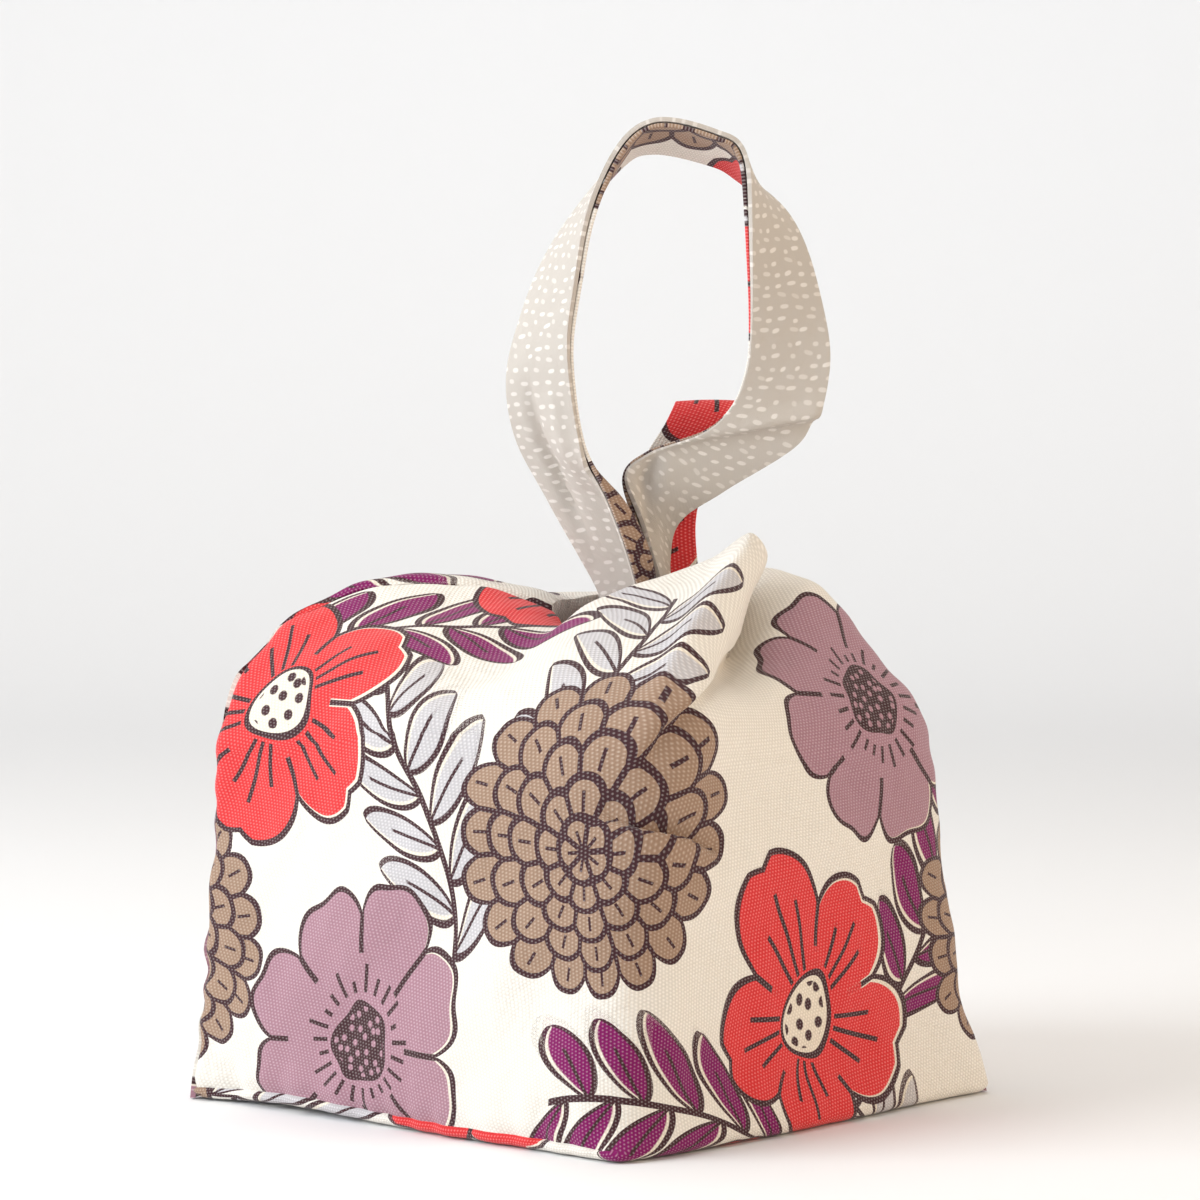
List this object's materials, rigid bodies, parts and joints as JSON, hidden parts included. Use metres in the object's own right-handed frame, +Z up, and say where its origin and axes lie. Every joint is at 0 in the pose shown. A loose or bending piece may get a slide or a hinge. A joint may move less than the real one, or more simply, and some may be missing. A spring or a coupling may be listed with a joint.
{
  "type": "cloth dumpling bag with a long and a short handle loop",
  "caption": "Boxy cloth pouch on a square base, drawn in at the top beside a raised fold, with a tall handle loop and a short one rising from its mouth.",
  "frame": {"origin": "middle of the flat base, on the surface that the bag stands on", "axes": "+Z up; X and Y run along the sides of the square base, with the corner that stands in front at -X -Y and the raised fold leaning to +X -Y"},
  "size_m": [0.1484, 0.1484, 0.2553],
  "materials": {
    "printed_canvas": "plain-weave canvas printed all over with flowers and leaves, matt",
    "lining_cotton": "warm grey cotton printed with small off-white dashes, matt"
  },
  "bodies": {
    "root": {"front_cloth": "printed_canvas", "back_cloth": "printed_canvas", "long_handle_print": "printed_canvas", "long_handle_lining": "lining_cotton", "short_handle_print": "printed_canvas", "short_handle_lining": "lining_cotton"}
  },
  "joints": []
}
